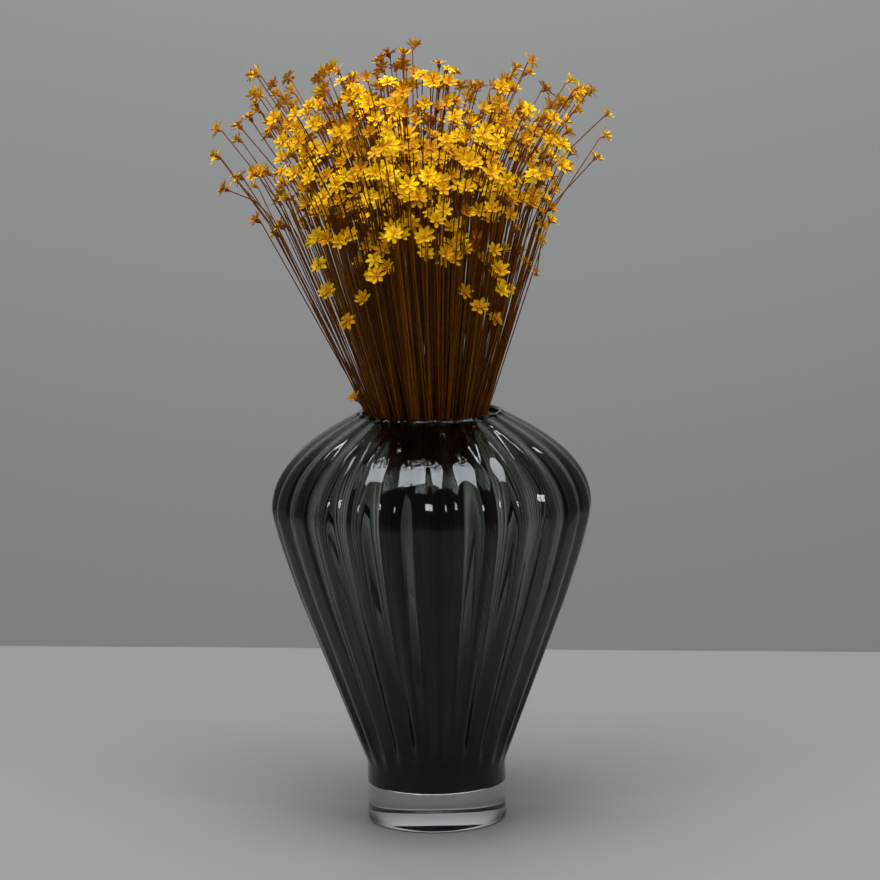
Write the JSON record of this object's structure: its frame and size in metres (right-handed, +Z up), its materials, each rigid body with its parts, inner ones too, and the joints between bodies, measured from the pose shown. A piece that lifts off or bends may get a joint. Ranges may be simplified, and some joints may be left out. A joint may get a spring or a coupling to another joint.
{
  "type": "dried glixia in vase",
  "caption": "Loose bunch of dried glixia star flowers on thin brown stems, standing in a ribbed smoked glass vase with a clear glass foot.",
  "frame": {"origin": "centre of the foot's underside", "axes": "+Z up along the vase's axis, +Y away from the viewer of the picture, +X to the viewer's right"},
  "size_m": [0.2309, 0.2334, 0.4501],
  "materials": {
    "smoked_glass": "polished dark green-grey smoked glass, softly ribbed",
    "clear_glass": "polished clear glass",
    "dried_glixia": "matt, papery golden yellow bracts on dark brown stems"
  },
  "bodies": {
    "root": {"vase_foot": "clear_glass", "vase_body": "smoked_glass", "spray_01": "dried_glixia", "spray_02": "dried_glixia", "spray_03": "dried_glixia", "spray_04": "dried_glixia", "spray_05": "dried_glixia", "spray_06": "dried_glixia", "spray_07": "dried_glixia", "spray_08": "dried_glixia", "spray_09": "dried_glixia", "spray_10": "dried_glixia", "spray_11": "dried_glixia", "spray_12": "dried_glixia", "spray_13": "dried_glixia", "spray_14": "dried_glixia", "spray_15": "dried_glixia", "spray_16": "dried_glixia", "spray_17": "dried_glixia", "spray_18": "dried_glixia", "spray_19": "dried_glixia", "spray_20": "dried_glixia", "spray_21": "dried_glixia", "spray_22": "dried_glixia", "spray_23": "dried_glixia", "spray_24": "dried_glixia", "spray_25": "dried_glixia", "spray_26": "dried_glixia", "spray_27": "dried_glixia", "spray_28": "dried_glixia", "spray_29": "dried_glixia", "spray_30": "dried_glixia", "spray_31": "dried_glixia", "spray_32": "dried_glixia", "spray_33": "dried_glixia", "spray_34": "dried_glixia", "spray_35": "dried_glixia", "spray_36": "dried_glixia", "spray_37": "dried_glixia", "spray_38": "dried_glixia", "spray_39": "dried_glixia", "spray_40": "dried_glixia", "spray_41": "dried_glixia", "spray_42": "dried_glixia", "spray_43": "dried_glixia", "spray_44": "dried_glixia", "spray_45": "dried_glixia", "spray_46": "dried_glixia", "spray_47": "dried_glixia", "spray_48": "dried_glixia", "spray_49": "dried_glixia", "spray_50": "dried_glixia", "spray_51": "dried_glixia", "spray_52": "dried_glixia", "spray_53": "dried_glixia", "spray_54": "dried_glixia", "spray_55": "dried_glixia", "spray_56": "dried_glixia"}
  },
  "joints": []
}
